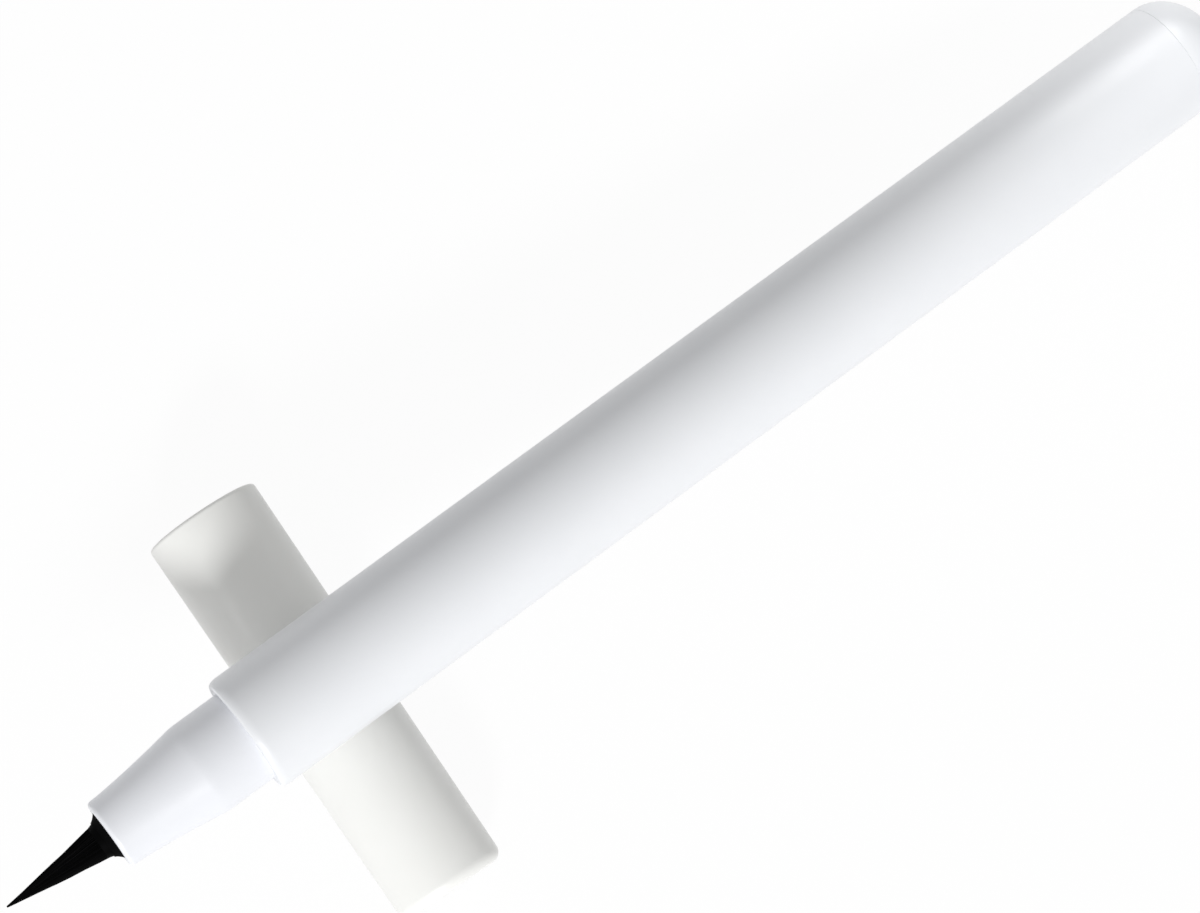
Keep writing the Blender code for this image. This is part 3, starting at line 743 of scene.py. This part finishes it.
def make_cap():
    ring = cap_length - SNAP_RING_DEPTH
    outline = [
        (0.0, CAP_END_WALL),
        (cap_lower_bore, CAP_END_WALL),
        (cap_lower_bore, CAP_STEP_HEIGHT),
        (cap_bore, CAP_STEP_HEIGHT),
    ]
    outline += blend(
        (cap_bore, ring - SNAP_RING_LENGTH / 2),
        (cap_bore - 2 * SNAP_RING_HEIGHT, ring),
        (cap_bore, ring + SNAP_RING_LENGTH / 2),
    )
    outline += [(cap_bore, cap_length - CAP_MOUTH_ROUNDING)]
    outline += rounded_top(barrel_radius, cap_length, CAP_MOUTH_ROUNDING)
    outline += rounded_bottom(cap_end_radius, 0.0, CAP_END_ROUNDING)
    outline += [(0.0, 0.0)]
    return piece(
        "cap_tube", turned_cage(outline), cap_frame, cap_white, "cap", "white_plastic", "cap_shell"
    )


def make_cup():
    floor = cup_bottom + CUP_FLOOR
    top = cup_bottom + CUP_LENGTH
    outline = [(0.0, floor), (cup_bore, floor), (cup_bore, top - CUP_LIP_ROUNDING)]
    outline += arc(cup_bore + CUP_LIP_ROUNDING, top - CUP_LIP_ROUNDING, CUP_LIP_ROUNDING, 180, 90)
    outline += [(cup_radius, top), (cup_radius, cup_bottom), (0.0, cup_bottom)]
    return piece(
        "inner_cup", turned_cage(outline), cap_frame, natural_plastic, "cap", "natural_plastic",
        "inner_cap",
    )


def dress_inner_nodes():
    """The inner pieces keep their own solids and get their finishes."""
    looks = {
        "nose_seal": seal_rubber,
        "brush_holder": pen_white,
        "collector": natural_plastic,
        "tank_stopper": natural_plastic,
        "feed_rod": wick_fibre,
        "ink_tank": natural_plastic,
        "mixing_ball": ball_steel,
    }
    for name, look in looks.items():
        node = frame["nodes"][name]
        node.data.materials.clear()
        node.data.materials.append(look)


# Floor, light and camera

def seen_directly(wiring):
    """1 where the camera, a mirror image or a look through clear material meets the surface."""
    path = wiring.add("ShaderNodeLightPath").outputs
    seen = wiring.math("MAXIMUM", path["Is Camera Ray"], path["Is Transmission Ray"])
    return wiring.math("MAXIMUM", seen, path["Is Glossy Ray"])


def floor_look():
    """White floor: mostly its own white to the camera, the rest lit, so that it keeps a shadow."""
    made = bpy.data.materials.new("studio_floor")
    made.use_nodes = True
    wiring = Wiring(made.node_tree)
    made.node_tree.nodes.remove(made.node_tree.nodes["Principled BSDF"])
    out = made.node_tree.nodes["Material Output"]
    lit = wiring.add("ShaderNodeBsdfDiffuse", {"Color": FLOOR_COLOUR}).outputs[0]
    white = wiring.add("ShaderNodeEmission", {"Color": PURE_WHITE, "Strength": 1.0}).outputs[0]
    share = wiring.math("MULTIPLY", seen_directly(wiring), FLOOR_GLOW_SHARE)
    mixed = wiring.add("ShaderNodeMixShader", {0: share, 1: lit, 2: white}).outputs[0]
    wiring.feed(mixed, out.inputs["Surface"])
    return made


def make_floor():
    bpy.ops.mesh.primitive_plane_add(size=FLOOR_SIZE)
    floor = bpy.context.object
    floor.name = "studio_floor"
    floor.data.materials.append(floor_look())


def make_sky():
    """An even sky that lights softly and shows as white."""
    world = bpy.data.worlds.new("studio_sky")
    bpy.context.scene.world = world
    world.use_nodes = True
    wiring = Wiring(world.node_tree)
    inputs = {"Value": seen_directly(wiring), "To Min": SKY_STRENGTH, "To Max": 1.0}
    strength = wiring.add("ShaderNodeMapRange", inputs).outputs["Result"]
    background = world.node_tree.nodes["Background"]
    wiring.feed(strength, background.inputs["Strength"])
    wiring.feed(PURE_WHITE, background.inputs["Color"])


def lamp(name, place, target, size, watts):
    data = bpy.data.lights.new(name, "AREA")
    data.shape = "DISK"
    data.size = size
    data.energy = watts
    made = bpy.data.objects.new(name, data)
    bpy.context.scene.collection.objects.link(made)
    made.location = place
    made.rotation_euler = (Vector(target) - Vector(place)).to_track_quat("-Z", "Y").to_euler()
    made.visible_camera = False


def make_lights():
    level = cos(KEY_HEIGHT_ANGLE)
    towards = Vector((level * cos(KEY_HEADING), level * sin(KEY_HEADING), sin(KEY_HEIGHT_ANGLE)))
    lamp("key", towards * KEY_DISTANCE, (0.0, 0.0, 0.0), KEY_SIZE, KEY_WATTS)
    lamp("tail_fill", TAIL_FILL_PLACE, tail_place, TAIL_FILL_SIZE, TAIL_FILL_WATTS)
    lamp("nose_fill", NOSE_FILL_PLACE, NOSE_FILL_TARGET, NOSE_FILL_SIZE, NOSE_FILL_WATTS)


def make_camera():
    data = bpy.data.cameras.new("photo_camera")
    data.lens = CAMERA_LENS_MM
    data.sensor_width = SENSOR_WIDTH_MM
    made = bpy.data.objects.new("photo_camera", data)
    bpy.context.scene.collection.objects.link(made)
    made.location = CAMERA_PLACE
    made.rotation_euler = Euler(CAMERA_TURN, "XYZ")
    bpy.context.scene.camera = made


make_barrel()
make_tail()
make_nose()
make_collar()
make_brush()
make_cap()
make_cup()
dress_inner_nodes()
make_floor()
make_sky()
make_lights()
make_camera()
bpy.context.scene.view_settings.view_transform = "Standard"
